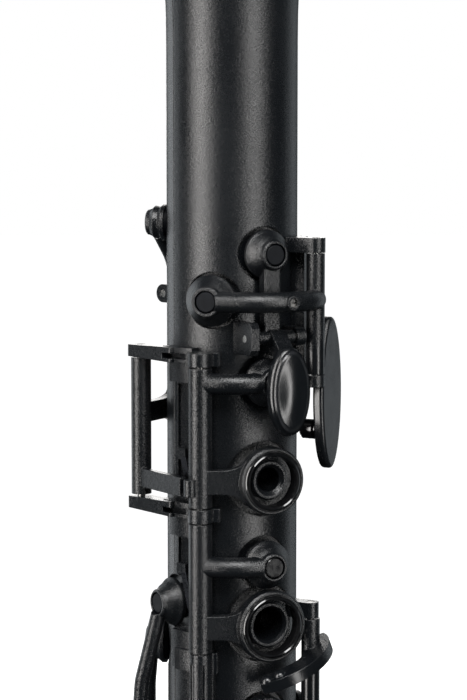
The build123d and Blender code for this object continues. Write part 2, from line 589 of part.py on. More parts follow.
def adjusting_screw():
    plane = spot(3.4, G_SHARP_Z)
    screw = turned([(0, 20.4), (0.9, 20.4), (0.9, 23.2), (0, 23.2)], plane)
    return screw - block(plane, (-1.2, 1.2), (-0.18, 0.18), (22.8, 24))


# ---- keys that rock on a rod across the tube ----------------------------------------------------------------
A_PIVOT_Z, A_PIVOT_R = 460.2, 17.2
A_POSTS = ((-6.6, -4.6), (5.2, 7.4))


def across(psi, z, r, x0, x1, radius):
    """Cylinder lying across the tube between two places on its own axis."""
    return spot(psi, z) * (Pos((x0 + x1) / 2, 0, r) * Rot(0, 90, 0) * Cylinder(radius, x1 - x0))


def a_key():
    plane = spot(0, 0)
    key = pad_cup(0, A_Z) + block(plane, (-1.9, 1.9), (A_PIVOT_Z - 1.2, A_Z - 1), (15.0, 17.6), 0.35)
    key = bored_cup(key, 0, A_Z, 4.4)
    key += across(0, A_PIVOT_Z, A_PIVOT_R, A_POSTS[0][1] + 0.5, A_POSTS[1][0] - 0.3, 1.45)
    side = make_face(Polyline((0, -15.8, A_PIVOT_Z + 1.6), (0, -18.6, A_PIVOT_Z + 1.6), (0, -22.6, 457.6),
                              (0, -22.2, 454.0), (0, -21.3, 453.4), (0, -20.4, 455.2), close=True))
    key += Pos(-1.2, 0, 0) * extrude(side, amount=3.6, dir=(1, 0, 0))
    touch = Plane(origin=(0.5, -21.2, 449.5), x_dir=(1, 0, 0), z_dir=(0, -1, 0))
    key += paddle(touch, 18.8, 9.6, 3.6, 1.7)
    return whole(key - across(0, A_PIVOT_Z, A_PIVOT_R, -20, 20, ROD_BORE_R))


def a_posts():
    """Chamfered block post on one side of the A key, round one on the other."""
    plane = spot(0, A_PIVOT_Z)
    x0, x1 = A_POSTS[0]
    shape = make_face(Polyline((0, -12, -3.4), (0, -19.2, -3.4), (0, -20.2, -2.2), (0, -20.2, 2.2), (0, -19.2, 3.4),
                               (0, -12, 3.4), close=True))
    left = Pos(x0, 0, A_PIVOT_Z) * extrude(shape, amount=x1 - x0, dir=(1, 0, 0))
    left += across(0, A_PIVOT_Z, A_PIVOT_R, x1 - 0.2, x1 + 0.4, 1.45)
    x0, x1 = A_POSTS[1]
    right = across(0, A_PIVOT_Z, A_PIVOT_R, x0, x1, 1.9) + block(plane, (x0, x1), (-1.9, 1.9), (9.0, A_PIVOT_R))
    return [whole(post - disc(Plane.XY, TUBE_R + 0.02, 0, 700) - across(0, A_PIVOT_Z, A_PIVOT_R, -20, 20, ROD_BORE_R))
            for post in (left, right)]


ROCKER_CUPS = {-134: (3.9, 2.75)}  # base and head radius of the one small cup, by its angle


def rocker(psi, cup_psi, cup_z, pivot_z, pivot_r, path, touch):
    """Rocking key pivoted across the tube at psi: cup at the top, a lever, and an oval touch at its foot."""
    base, head = ROCKER_CUPS.get(cup_psi, (5.1, 3.0))
    key = pad_cup(cup_psi, cup_z, base, head)
    key += strut([polar(r, a, z) for r, a, z in path], 1.6)
    key = bored_cup(key, cup_psi, cup_z, base - 0.7)
    key += across(psi, pivot_z, pivot_r, -ROCKER_HALF, ROCKER_HALF, 1.9)
    length, width, touch_psi, r, z = touch
    key += paddle(spot(touch_psi, z, r), length, width, 2.2, 0.6, dish=0.3)
    return whole(key - across(psi, pivot_z, pivot_r, -20, 20, ROD_BORE_R))


ROCKER_HALF, POST_WALL = 2.6, 1.6


def rocker_posts(psi, z, r):
    """Two posts either side of a rocking key."""
    plane = spot(psi, z)
    posts = []
    for side in (-1, 1):
        x0, x1 = sorted((side * (ROCKER_HALF + 0.15), side * (ROCKER_HALF + 0.15 + POST_WALL)))
        post = block(plane, (x0, x1), (-2.0, 2.0), (9.0, r)) + across(psi, z, r, x0, x1, 2.0)
        posts.append(post - disc(Plane.XY, TUBE_R + 0.02, 0, 700) - across(psi, z, r, -20, 20, ROD_BORE_R))
    base = block(plane, (-ROCKER_HALF - 1.75, ROCKER_HALF + 1.75), (-2.6, 2.6), (11.0, 14.9))
    base -= disc(Plane.XY, TUBE_R + 0.02, 0, 700)
    return whole(posts[0] + posts[1] + base)


# name: pivot angle, cup angle and height, pivot height and radius, lever path, touch
ROCKERS = {
    "register_key": (-165, -134, REGISTER_Z, 467.5, 17.4,
                     [(17.4, -134, REGISTER_Z - 0.6), (17.7, -147, 480.6), (17.9, -164, 474.2), (17.6, -165, 466.5),
                      (18.6, -168, 462.4), (19.6, -177, 459.6), (19.6, 177, 458.4)], (14.0, 9.4, 178, 19.4, 457.4)),
    "side_key_upper": (-103, -88, 402.6, 368.0, 20.5,
                       [(18.0, -88, 401.5), (19.0, -91, 396), (20.8, -98, 385), (21.0, -103, 374), (20.2, -103.5, 356)],
                       (24.0, 9.0, -103, 20.6, 350.0)),
    "side_key_lower": (-133, -128, 392.0, 366.0, 19.0,
                       [(17.8, -128, 391), (18.8, -131, 382), (19.0, -133, 366), (20.0, -133.5, 354)],
                       (24.0, 9.0, -133, 20.4, 348.0)),
}


# ---- keys that swing on a rod along the tube ----------------------------------------------------------------
def touch_plate(psi, z, r, length, width):
    return paddle(spot(psi, z, r), length, width, 2.2, 0.6, dish=0.3)


def cross_key(hinge, low, high, arm_z, tip_psi, cup, slope):
    """Finger bar that comes round the front as a sloping curved plate; its cup is on the hinge's far side."""
    psi, r = hinge
    mid = (psi + tip_psi) / 2
    outer = Spline(*[polar(pr, a, 0) for pr, a in ((r + 2.2, psi + 15), (r + 4.8, psi + 1), (r + 5.2, mid + 3),
                                                   (r + 3.0, tip_psi + 8), (r + 1.0, tip_psi - 2))])
    inner = Spline(*[polar(pr, a, 0) for pr, a in ((r - 1.2, tip_psi - 1), (r - 0.4, mid - 4), (r + 0.6, mid + 8),
                                                   (r - 1.2, psi + 1), (r - 1.4, psi + 12))])
    edges = [outer, Line(outer @ 1, inner @ 0), inner, Line(inner @ 1, outer @ 0)]
    plate = Pos(-polar(r, psi, 0)) * extrude(make_face(Curve() + edges), 1.25, both=True)
    key = Pos(polar(r, psi, arm_z)) * Rot(0, -slope, 0) * plate
    for step in (5, 13):
        drop = r * (sin(radians(psi)) - sin(radians(tip_psi + step))) * sin(radians(slope))
        key += Pos(polar(r + 0.1 + step / 12, tip_psi + step, arm_z + 0.5 - drop)) * Sphere(1.45)
    cup_psi, cup_z = cup
    key += cup_arm(hinge, cup_psi, cup_z, 1.7) + pad_cup(cup_psi, cup_z)
    key = bored_cup(key, cup_psi, cup_z, 4.4) + hinge_tube(psi, r, low, high, 2.0)
    return whole(key - tube_bore(psi, r, low, high))


def side_cup_key(hinge, low, high, cup, touch, touch_arm_z, size):
    """Cup on one side of a hinge tube and an oval touch on the other."""
    psi, r = hinge
    cup_psi, cup_z = cup
    touch_psi, touch_z = touch
    key = cup_arm(hinge, cup_psi, cup_z, 1.8) + pad_cup(cup_psi, cup_z, *size[2:])
    key = bored_cup(key, cup_psi, cup_z, size[2] - 0.7) + hinge_tube(psi, r, low, high, 2.1)
    key += strut([polar(r, psi, touch_arm_z), polar(19.9, (psi + touch_psi) / 2, touch_arm_z),
                  polar(19.6, touch_psi, touch_arm_z)], 1.6)
    key += touch_plate(touch_psi, touch_z, 19.4, *size[:2])
    return whole(key - tube_bore(psi, r, low, high))


CROSS_HINGE = (36, 18.6)
C_SHARP_HINGE = (46, 18.4)
SLIVER_HINGE = (42, 18.2)
LOW_HINGE = (42, 18.2)
SIDE_HINGE = (-94, 18.2)
LEFT_F_HINGE, LEFT_E_HINGE = (100, 18.4), (138, 18.4)
F_TAIL_PSI, E_TAIL_PSI = 80, 104
BIG_CUP = (6.9, 4.2)
OPEN_TRAVEL = 5.0


def low_key(low, high, cup_z, touch_z, tail_z, tail_psi):
    """Open standing little finger key: cup and touch on the same side, a tail for the left hand lever."""
    psi, r = LOW_HINGE
    key = closed_low_key(cup_z, touch_z).rotate(hinge_axis(psi, r), OPEN_TRAVEL)
    key += hinge_tube(psi, r, low, high, 2.1)
    key += strut([polar(r, psi, tail_z), polar(19.2, (psi + tail_psi) / 2, tail_z),
                  polar(18.9, tail_psi - 1, tail_z)], 1.2)
    return whole(key - tube_bore(psi, r, low, high))


def closed_low_key(cup_z, touch_z):
    key = cup_arm(LOW_HINGE, 0, cup_z, 1.9) + pad_cup(0, cup_z, *BIG_CUP)
    if cup_z == touch_z:
        key += strut([polar(17.0, -15, touch_z), polar(19.6, -25, touch_z), polar(20.4, -36, touch_z)], 1.6)
    else:
        psi, r = LOW_HINGE
        key += strut([polar(r, psi, touch_z), polar(20.6, 18, touch_z), polar(20.4, -12, touch_z),
                      polar(20.6, -36, touch_z)], 1.6)
    key += touch_plate(-36, touch_z, 20.4, 15.0, 10.0)
    return bored_cup(key, 0, cup_z, BIG_CUP[0] - 0.7)


def left_lever(hinge, low, high, touch, touch_z, finger_z, tail_psi):
    """Left little finger lever: touch at the top and a finger that lifts a low key's tail."""
    psi, r = hinge
    touch_psi, width = touch
    key = hinge_tube(psi, r, low, high, 2.1)
    key += strut([polar(r, psi, touch_z - 4), polar(19.6, touch_psi - 1, touch_z - 4)], 1.6)
    key += touch_plate(touch_psi, touch_z, 19.6, 20.0, width)
    key += strut([polar(r, psi, finger_z), polar(FINGER_R + 0.6, (psi + tail_psi) / 2, finger_z),
                  polar(FINGER_R, tail_psi, finger_z)], 1.0)
    return whole(key - tube_bore(psi, r, low, high))


FINGER_R = 16.3


def long_posts(psi, r, spans, radius=2.2):
    return [single_post(psi, r, low, high, radius) for low, high in spans]


# ---- fittings -----------------------------------------------------------------------------------------------
THUMB_REST_Z = 268.0


def thumb_rest():
    """Hook for the right thumb with a ring for a neck strap, on a curved base plate."""
    body = wedge_sector(163, 197, TUBE_R + 0.02, 16.4, THUMB_REST_Z - 16, THUMB_REST_Z + 14)
    hook = make_face(Polyline((0, 15.5, THUMB_REST_Z - 2), (0, 33, THUMB_REST_Z - 8.5), (0, 35.5, THUMB_REST_Z - 7.6),
                              (0, 34.5, THUMB_REST_Z - 4.6), (0, 20, THUMB_REST_Z + 1.6), (0, 15.5, THUMB_REST_Z + 7),
                              close=True))
    plate = Pos(-7, 0, 0) * extrude(hook, amount=14, dir=(1, 0, 0))
    body += fillet(plate.edges().filter_by(Axis.X), 0.5)
    ring = Pos(0, 19.9, THUMB_REST_Z + 10.5) * Rot(0, 90, 0) * (Cylinder(4.1, 2.6) - Cylinder(2.5, 4))
    body += ring - disc(Plane.XY, 15.5, 0, 700)
    for z in (THUMB_REST_Z - 12.5, ):
        body -= disc(spot(180, z), 1.3, 10, 30)
    return whole(body)


def thumb_rest_screw():
    plane = spot(180, THUMB_REST_Z - 12.5)
    screw = turned([(0, 14.1), (1.2, 14.1), (1.2, 16.45), (2.4, 16.45), (2.4, 17.1), (1.9, 17.7), (0, 17.7)], plane)
    return screw - block(plane, (-3, 3), (-0.3, 0.3), (17.2, 19))


def spring_blades():
    """Flat steel springs under the ring keys."""
    blades = []
    for z in SPRING_TABS:
        start = polar(15.2, -71.5, z - 0.6)
        end = polar(15.3, -63.8, z - 8.3)
        run = end - start
        plane = Plane(origin=start, x_dir=run, z_dir=polar(1, -72, 0))
        blades.append(plane * (Pos(run.length / 2, 0, 0) * Box(run.length, 1.5, 0.3)))
    return blades


# ---- the sub-parts ------------------------------------------------------------------------------------------
write("mouthpiece", mouthpiece())
write("reed", reed())
write("ligature", ligature())
for name, screw in zip(("ligature_screw_lower", "ligature_screw_upper"), ligature_screws()):
    write(name, screw)
write("barrel", barrel())
write("upper_joint", upper_joint())
write("lower_joint", lower_joint())
write("bell", bell())
write("tenon_seals", *tenon_seals())
write("thumb_rest", thumb_rest())
write("thumb_rest_screw", thumb_rest_screw())

write("ring_key_saddles", *[saddle(low) for low in SADDLES], lower_saddle())
write("a_key_posts", *a_posts())
write("g_sharp_bracket", g_sharp_bracket())
write("rocker_posts", *[rocker_posts(r[0], r[3], r[4]) for r in ROCKERS.values()])
UPPER_POST_RADIUS = 1.75
UPPER_POSTS = [(CROSS_HINGE, [(399.2, 402.6), (359.2, 362.6)]), (C_SHARP_HINGE, [(355.0, 358.0), (335.0, 338.0)])]
LOWER_POSTS = [((HINGE_PSI, HINGE_R), [(309.0, 312.4), (226.6, 230.0)]),
               (SLIVER_HINGE, [(272.0, 275.0), (244.0, 247.0)]),
               (LOW_HINGE, [(226.0, 229.0), (204.4, 207.6), (155.0, 158.0)]),
               (SIDE_HINGE, [(227.0, 230.0), (194.4, 197.6), (148.0, 151.0)]),
               (LEFT_F_HINGE, [(306.0, 309.0), (217.0, 220.0)]), (LEFT_E_HINGE, [(306.0, 309.0), (194.0, 197.0)])]
write("upper_joint_posts", *[p for h, spans in UPPER_POSTS for p in long_posts(*h, spans, UPPER_POST_RADIUS)])
write("lower_joint_posts", *[p for h, spans in LOWER_POSTS for p in long_posts(*h, spans)])

rods = [upright(h[0], h[1], spans[-1][0] + 0.2, spans[0][1] - 0.1, ROD_R) for h, spans in UPPER_POSTS + LOWER_POSTS]
rods.append(upright(HINGE_PSI, HINGE_R, 387.5, SADDLES[0] + 2.8, ROD_R))
rods.append(upright(THUMB_HINGE_PSI, THUMB_HINGE_R, SADDLES[1] + 0.8, SADDLES[0] + 3.1, ROD_R))
rods.append(upright(G_HINGE_PSI, G_HINGE_R, G_POST[0] + 0.3, G_POST[1] - 0.1, ROD_R))
rods.append(across(0, A_PIVOT_Z, A_PIVOT_R, A_POSTS[0][0] + 0.1, A_POSTS[1][1] - 0.1, ROD_R))
rods += [across(r[0], r[3], r[4], -ROCKER_HALF - 1.65, ROCKER_HALF + 1.65, ROD_R) for r in ROCKERS.values()]
write("pivot_rods", *rods)
write("springs", *spring_blades())

write("a_key", a_key())
write("a_pad", pad(0, A_Z))
write("g_sharp_key", g_sharp_key())
write("g_sharp_pad", pad(-46, G_SHARP_Z, 5.4))
write("g_sharp_bumper", g_sharp_bumper())
write("adjusting_screw", adjusting_screw())
write("thumb_ring_key", thumb_key())
write("thumb_ring_lip", ring_insert(180, THUMB_Z, RING_TOP, THUMB_RING[1] + 1.15, THUMB_RING[1]))
write("first_ring_key", ring_key(*LH1_TUBE, LH1_PAD_Z, LH1_RINGS, knuckle=True))
write("first_ring_soft", swung_pad(LH1_PAD_Z), *ring_inserts(LH1_RINGS))
write("second_ring_key", ring_key(*LH2_TUBE, LH2_PAD_Z, LH2_RINGS))
write("second_ring_soft", swung_pad(LH2_PAD_Z), *ring_inserts(LH2_RINGS))
write("lower_ring_key", ring_key(*RH_TUBE, RH_PAD_Z, RH_RINGS))
write("lower_ring_soft", swung_pad(RH_PAD_Z), *ring_inserts(RH_RINGS))
for name, numbers in ROCKERS.items():
    write(name, rocker(*numbers))
    write(name.replace("key", "pad"), pad(numbers[1], numbers[2], ROCKER_CUPS.get(numbers[1], (5.1, ))[0]))

write("cross_key", cross_key(CROSS_HINGE, 362.8, 399.0, 391.8, -11, (76, 375.0), 22))
write("cross_pad", pad(76, 375.0))
write("sliver_key", cross_key(SLIVER_HINGE, 247.2, 271.8, 257.5, 6, (74, 253.0), 18))
write("sliver_pad", pad(74, 253.0))
write("c_sharp_key", side_cup_key(C_SHARP_HINGE, 338.2, 354.8, (4, 352.0), (80, 336.0), 343.0, (22.0, 9.0, 5.1)))
write("c_sharp_pad", pad(4, 352.0))
write("f_sharp_key", side_cup_key(SIDE_HINGE, 197.8, 226.8, (-134, LOW_F_Z), (-64, LOW_F_Z), LOW_F_Z, (15.0, 9.0) + BIG_CUP))
write("f_sharp_pad", pad(-134, LOW_F_Z, BIG_CUP[0]))
write("a_flat_key", side_cup_key(SIDE_HINGE, 151.2, 194.2, (-134, A_FLAT_Z), (-64, 190.0), 190.0, (15.0, 9.0) + BIG_CUP))
write("a_flat_pad", pad(-134, A_FLAT_Z, BIG_CUP[0]))
write("low_f_key", low_key(207.8, 225.8, LOW_F_Z, LOW_F_Z, 223.5, F_TAIL_PSI))
write("low_e_key", low_key(158.2, 204.2, LOW_E_Z, 190.0, 200.5, E_TAIL_PSI))
low_pivot = hinge_axis(*LOW_HINGE)
write("low_f_pad", pad(0, LOW_F_Z, BIG_CUP[0]).rotate(low_pivot, OPEN_TRAVEL))
write("low_e_pad", pad(0, LOW_E_Z, BIG_CUP[0]).rotate(low_pivot, OPEN_TRAVEL))
write("left_f_lever", left_lever(LEFT_F_HINGE, 220.2, 305.8, (117, 7.2), 297.0, 223.5, F_TAIL_PSI))
write("left_e_lever", left_lever(LEFT_E_HINGE, 197.2, 305.8, (159, 8.0), 297.0, 200.5, E_TAIL_PSI))
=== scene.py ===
"""Looks of the moulded plastic clarinet: materials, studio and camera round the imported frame."""

import json
import math

import bmesh
import bpy
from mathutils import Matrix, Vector


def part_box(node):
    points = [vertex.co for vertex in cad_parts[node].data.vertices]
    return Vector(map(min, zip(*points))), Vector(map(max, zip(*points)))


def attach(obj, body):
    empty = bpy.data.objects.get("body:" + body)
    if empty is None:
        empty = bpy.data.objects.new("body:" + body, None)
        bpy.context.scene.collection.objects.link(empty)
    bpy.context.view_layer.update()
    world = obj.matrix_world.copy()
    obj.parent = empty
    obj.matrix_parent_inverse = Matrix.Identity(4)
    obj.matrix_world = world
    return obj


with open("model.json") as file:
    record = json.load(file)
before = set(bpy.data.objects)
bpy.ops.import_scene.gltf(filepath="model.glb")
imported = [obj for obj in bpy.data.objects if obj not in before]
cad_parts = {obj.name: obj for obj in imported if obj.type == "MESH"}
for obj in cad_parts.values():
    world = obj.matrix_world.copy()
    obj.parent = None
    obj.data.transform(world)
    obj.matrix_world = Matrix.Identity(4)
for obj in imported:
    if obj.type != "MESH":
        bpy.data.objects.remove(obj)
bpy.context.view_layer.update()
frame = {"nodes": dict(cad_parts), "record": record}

MM = 0.001

# The camera: it looks at a point on the bore, from the player's right front and a little above.
VIEW_AZIMUTH = -29.0
VIEW_ELEVATION = 6.04
VIEW_DISTANCE = 484.7 * MM
VIEW_SIDESTEP = 0.323 * MM
SENSOR = 36.0
LENS = 115.71
# The middle of the view lies this share of the way up the upper joint.
VIEW_HEIGHT_SHARE = 0.5932

# The studio: the reach of its floor, and the height that its soft lights point at.
STUDIO_REACH = 9.0
LIGHT_AIM = 0.45

# The low bulge on the front face of the A key's touch: its middle, half sizes and rise, and how deep its back
# is sunk into the touch.
CROWN_CENTRE = (0.5 * MM, -24.8 * MM, 449.5 * MM)
CROWN_HALF_WIDE, CROWN_HALF_TALL = 4.3 * MM, 8.9 * MM
CROWN_RISE, CROWN_SUNK = 0.95 * MM, 0.3 * MM
CROWN_RINGS, CROWN_SPOKES = 12, 64

PLASTIC_EDGE = 0.30 * MM
TUBE_SHADE = (0.0034, 0.0041, 0.0051)
KEY_SHADE = (0.0031, 0.0037, 0.0046)
WORN_SHADE = (0.05, 0.052, 0.056)
# Key plastic: shade, roughness, and the size and depth of its grain.
KEY_FINISH = (KEY_SHADE, 0.29, 0.28 * MM, 0.075 * MM)

# Finger touches smoother than the rest of their key: where in the node's box, and how far the polish reaches.
TOUCHES = {
    "a_key": ((0.5, 0.0, 0.18), 9.0 * MM, 12.5 * MM),
    "g_sharp_key": ((1.0, 0.5, 0.26), 17.0 * MM, 20.0 * MM),
    "cross_key": ((0.25, 0.15, 0.5), 10.0 * MM, 16.0 * MM),
}


# ---- small helpers for node trees ---------------------------------------------------------------

class Material:
    """A node material with short ways to add nodes and join them."""

    def __init__(self, name):
        self.data = bpy.data.materials.new(name)
        self.data.use_nodes = True
        self.tree = self.data.node_tree
        self.shader = self.tree.nodes["Principled BSDF"]
        self.place = self.add("ShaderNodeTexCoord").outputs["Object"]

    def add(self, kind, settings=None, inputs=None):
        node = self.tree.nodes.new(kind)
        for name, value in (settings or {}).items():
            setattr(node, name, value)
        for name, value in (inputs or {}).items():
            self.put(node.inputs[name], value)
        return node

    def put(self, socket, value):
        if isinstance(value, bpy.types.NodeSocket):
            self.tree.links.new(value, socket)
        else:
            socket.default_value = value

    def surface(self, **inputs):
        for name, value in inputs.items():
            self.put(self.shader.inputs[name.replace("_", " ")], value)

    def noise(self, feature, detail=2.0, roughness=0.5, stretch=(1, 1, 1)):
        """Noise whose features are about this many metres across, drawn out along the stretched axes."""
        scaled = self.add("ShaderNodeVectorMath", {"operation": "MULTIPLY"},
                          {0: self.place, 1: [1 / (feature * s) for s in stretch]}).outputs[0]
        return self.add("ShaderNodeTexNoise", None,
                        {"Vector": scaled, "Scale": 1.0, "Detail": detail, "Roughness": roughness}).outputs[0]

    def scale(self, value, low, high, start=0.0, end=1.0):
        """value, taken from start..end to low..high."""
        return self.add("ShaderNodeMapRange", {"clamp": True},
                        {"Value": value, "From Min": start, "From Max": end,
                         "To Min": low, "To Max": high}).outputs[0]

    def math(self, operation, a, b):
        return self.add("ShaderNodeMath", {"operation": operation}, {0: a, 1: b}).outputs[0]

    def mix(self, share, a, b):
        node = self.add("ShaderNodeMix", {"data_type": "RGBA"})
        self.put(node.inputs[0], share)
        self.put(node.inputs[6], a)
        self.put(node.inputs[7], b)
        return node.outputs[2]

    def soft_edges(self, radius):
        """A normal that rounds every edge by this radius, and a mask that is 1 along those edges."""
        rounded = self.add("ShaderNodeBevel", {"samples": 4}, {"Radius": radius}).outputs[0]
        flat = self.add("ShaderNodeNewGeometry").outputs["Normal"]
        together = self.add("ShaderNodeVectorMath", {"operation": "DOT_PRODUCT"},
                            {0: rounded, 1: flat}).outputs["Value"]
        return rounded, self.scale(together, 1.0, 0.0, 0.80, 0.99)

    def bump(self, height, strength, distance, normal=None):
        node = self.add("ShaderNodeBump", None,
                        {"Height": height, "Strength": strength, "Distance": distance})
        if normal is not None:
            self.put(node.inputs["Normal"], normal)
        return node.outputs[0]


def colour(r, g, b):
    return (r, g, b, 1.0)


def near(material, centre, inner, outer):
    """A mask that is 1 within inner of the centre and 0 beyond outer."""
    distance = material.add("ShaderNodeVectorMath", {"operation": "DISTANCE"},
                            {0: material.place, 1: centre}).outputs["Value"]
    return material.scale(distance, 1.0, 0.0, inner, outer)


# ---- materials ------------------------------------------------------------------------------------

def moulded(name, shade, roughness, grain, depth, polished=None):
    """Black moulded plastic: eroded grain, slow changes of gloss, and edges rubbed smoother and paler.
    polished is (centre, inner, outer) of a finger touch that is smoother than the rest."""
    m = Material(name)
    rounded, edge = m.soft_edges(PLASTIC_EDGE)
    fine = m.noise(grain, 3.0, 0.62)
    coarse = m.noise(grain * 3.1, 2.0, 0.5)
    slow = m.noise(14 * MM, 3.0, 0.55, (1, 1, 2.2))
    rubbed = m.noise(4.5 * MM, 4.0, 0.6)
    height = m.math("ADD", fine, m.math("MULTIPLY", coarse, 0.6))
    base = m.mix(m.scale(slow, 0, 1, 0.35, 0.65), colour(*[c * 0.86 for c in shade]),
                 colour(*[c * 1.12 for c in shade]))
    speck = m.scale(fine, 0.0, 0.45, 0.55, 0.78)
    base = m.mix(speck, base, colour(*[c * 1.9 for c in shade]))
    worn = m.math("MULTIPLY", edge, m.scale(rubbed, 0.15, 0.9, 0.4, 0.65))
    base = m.mix(m.math("MULTIPLY", worn, 0.55), base, colour(*WORN_SHADE))
    gloss = m.math("ADD", m.scale(slow, roughness - 0.035, roughness + 0.035, 0.35, 0.65),
                   m.scale(fine, -0.05, 0.05, 0.3, 0.7))
    gloss = m.math("SUBTRACT", gloss, m.math("MULTIPLY", worn, 0.10))
    if polished is not None:
        mask = near(m, *polished)
        smear = m.scale(m.noise(3.2 * MM, 4.0, 0.6, (1, 1, 1.8)), 0.17, 0.29, 0.35, 0.7)
        keep = m.math("SUBTRACT", 1.0, mask)
        gloss = m.math("ADD", m.math("MULTIPLY", gloss, keep), m.math("MULTIPLY", smear, mask))
        height = m.math("MULTIPLY", height, m.scale(keep, 0.12, 1.0))
    m.surface(Base_Color=base, Roughness=gloss, Normal=m.bump(height, 1.0, depth, rounded))
    m.shader.inputs["Specular IOR Level"].default_value = 0.5
    return m.data


def polished_plastic(name):
    """Hard polished mouthpiece plastic with faint wiping marks."""
    m = Material(name)
    rounded = m.soft_edges(0.25 * MM)[0]
    wipes = m.noise(0.5 * MM, 3.0, 0.6, (1, 1, 14))
    clouds = m.noise(9 * MM, 3.0, 0.5)
    base = m.mix(m.scale(clouds, 0, 1, 0.35, 0.65), colour(0.0035, 0.0036, 0.004), colour(0.006, 0.006, 0.007))
    gloss = m.math("ADD", m.scale(wipes, 0.09, 0.19, 0.35, 0.7), m.scale(clouds, 0.0, 0.06, 0.4, 0.65))
    m.surface(Base_Color=base, Roughness=gloss, Normal=m.bump(wipes, 0.25, 0.004 * MM, rounded))
    return m.data


def silicone(name):
    """Dull slate grey silicone with a faint bloom."""
    m = Material(name)
    rounded = m.soft_edges(0.18 * MM)[0]
    bloom = m.noise(1.6 * MM, 4.0, 0.6)
    fine = m.noise(0.16 * MM, 2.0, 0.5)
    base = m.mix(m.scale(bloom, 0, 1, 0.35, 0.68), colour(0.0030, 0.0036, 0.0048),
                 colour(0.0052, 0.0061, 0.0078))
    m.surface(Base_Color=base, Roughness=m.scale(bloom, 0.44, 0.58, 0.35, 0.65),
              Normal=m.bump(fine, 0.6, 0.010 * MM, rounded))
    m.shader.inputs["Specular IOR Level"].default_value = 0.13
    return m.data


def rubber(name):
    """Glossy black soft plastic of the ring lips, with skin grease marks."""
    m = Material(name)
    marks = m.noise(1.1 * MM, 4.0, 0.6)
    ripples = m.noise(2.6 * MM, 2.0, 0.4)
    base = m.mix(m.scale(marks, 0, 1, 0.4, 0.7), colour(0.003, 0.003, 0.0034), colour(0.0055, 0.0056, 0.006))
    m.surface(Base_Color=base, Roughness=m.scale(marks, 0.10, 0.22, 0.35, 0.72),
              Normal=m.bump(ripples, 0.35, 0.02 * MM))
    m.shader.inputs["Coat Weight"].default_value = 0.3
    m.shader.inputs["Coat Roughness"].default_value = 0.08
    return m.data


def ground_steel(name, bright, dull):
    """Ground steel with fine turning lines and a little tarnish."""
    m = Material(name)
    rounded = m.soft_edges(0.08 * MM)[0]
    lines = m.noise(0.05 * MM, 2.0, 0.5, (9, 9, 1))
    tarnish = m.noise(0.9 * MM, 4.0, 0.6)
    base = m.mix(m.scale(tarnish, 0, 1, 0.4, 0.7), colour(*bright), colour(*dull))
    m.surface(Base_Color=base, Metallic=1.0, Roughness=m.scale(tarnish, 0.22, 0.40, 0.35, 0.7),
              Normal=m.bump(lines, 0.35, 0.004 * MM, rounded))
    return m.data


def cane(name, low, high):
    """Cane reed: straw colour, dark fibres along its length, and a paler scraped vamp towards the tip."""
    m = Material(name)
    height = m.add("ShaderNodeSeparateXYZ", None, {0: m.place}).outputs[2]
    fibres = m.noise(0.20 * MM, 4.0, 0.65, (1, 1, 60))
    pores = m.noise(0.35 * MM, 3.0, 0.6, (1, 1, 9))
    stain = m.noise(8 * MM, 3.0, 0.5, (1, 1, 2))
    straw = m.mix(m.scale(fibres, 0, 1, 0.38, 0.66), colour(0.46, 0.31, 0.125), colour(0.64, 0.48, 0.235))
    scraped = m.mix(m.scale(pores, 0, 1, 0.40, 0.62), colour(0.58, 0.42, 0.20), colour(0.76, 0.62, 0.37))
    base = m.mix(m.scale(height, 0, 1, low + 0.46 * (high - low), low + 0.50 * (high - low)), straw, scraped)
    base = m.mix(m.scale(stain, 0.0, 0.35, 0.5, 0.7), base, colour(0.40, 0.25, 0.09))
    m.surface(Base_Color=base, Roughness=m.scale(fibres, 0.42, 0.62, 0.35, 0.65),
              Normal=m.bump(fibres, 0.5, 0.02 * MM))
    m.shader.inputs["Subsurface Weight"].default_value = 0.08
    m.shader.inputs["Subsurface Radius"].default_value = (0.6 * MM, 0.4 * MM, 0.2 * MM)
    return m.data


def touch_centre(node, share):
    """A point in a node's box, given as shares of the way along X, Y and Z."""
    low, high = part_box(node)
    return Vector([a + (b - a) * s for a, b, s in zip(low, high, share)])


def reed_material():
    low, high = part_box("reed")
    return cane("cane", low.z, high.z)


def dress():
    """Every CAD node gets its slot's material."""
    tube = moulded("moulded_tube", TUBE_SHADE, 0.27, 0.24 * MM, 0.060 * MM)
    key = moulded("moulded_key", *KEY_FINISH)
    by_slot = {
        "body_plastic": tube,
        "key_plastic": key,
        "ligature_plastic": key,
        "screw_plastic": key,
        "mouthpiece_plastic": polished_plastic("polished_mouthpiece"),
        "pad_silicone": silicone("slate_silicone"),
        "soft_rubber": rubber("glossy_ring_lip"),
        "steel": ground_steel("ground_steel", (0.56, 0.55, 0.53), (0.36, 0.35, 0.335)),
        "reed": reed_material(),
    }
    slots = {row["node"]: row["material_slot"] for row in frame["record"]["subparts"]}
    for node, thing in frame["nodes"].items():
        made = by_slot[slots[node]]
        if node == "springs":
            made = ground_steel("blued_steel", (0.060, 0.064, 0.072), (0.028, 0.030, 0.036))
        if node in TOUCHES:
            share, inner, outer = TOUCHES[node]
            made = moulded("moulded_" + node, *KEY_FINISH, (touch_centre(node, share), inner, outer))
        thing.data.materials.clear()
        thing.data.materials.append(made)


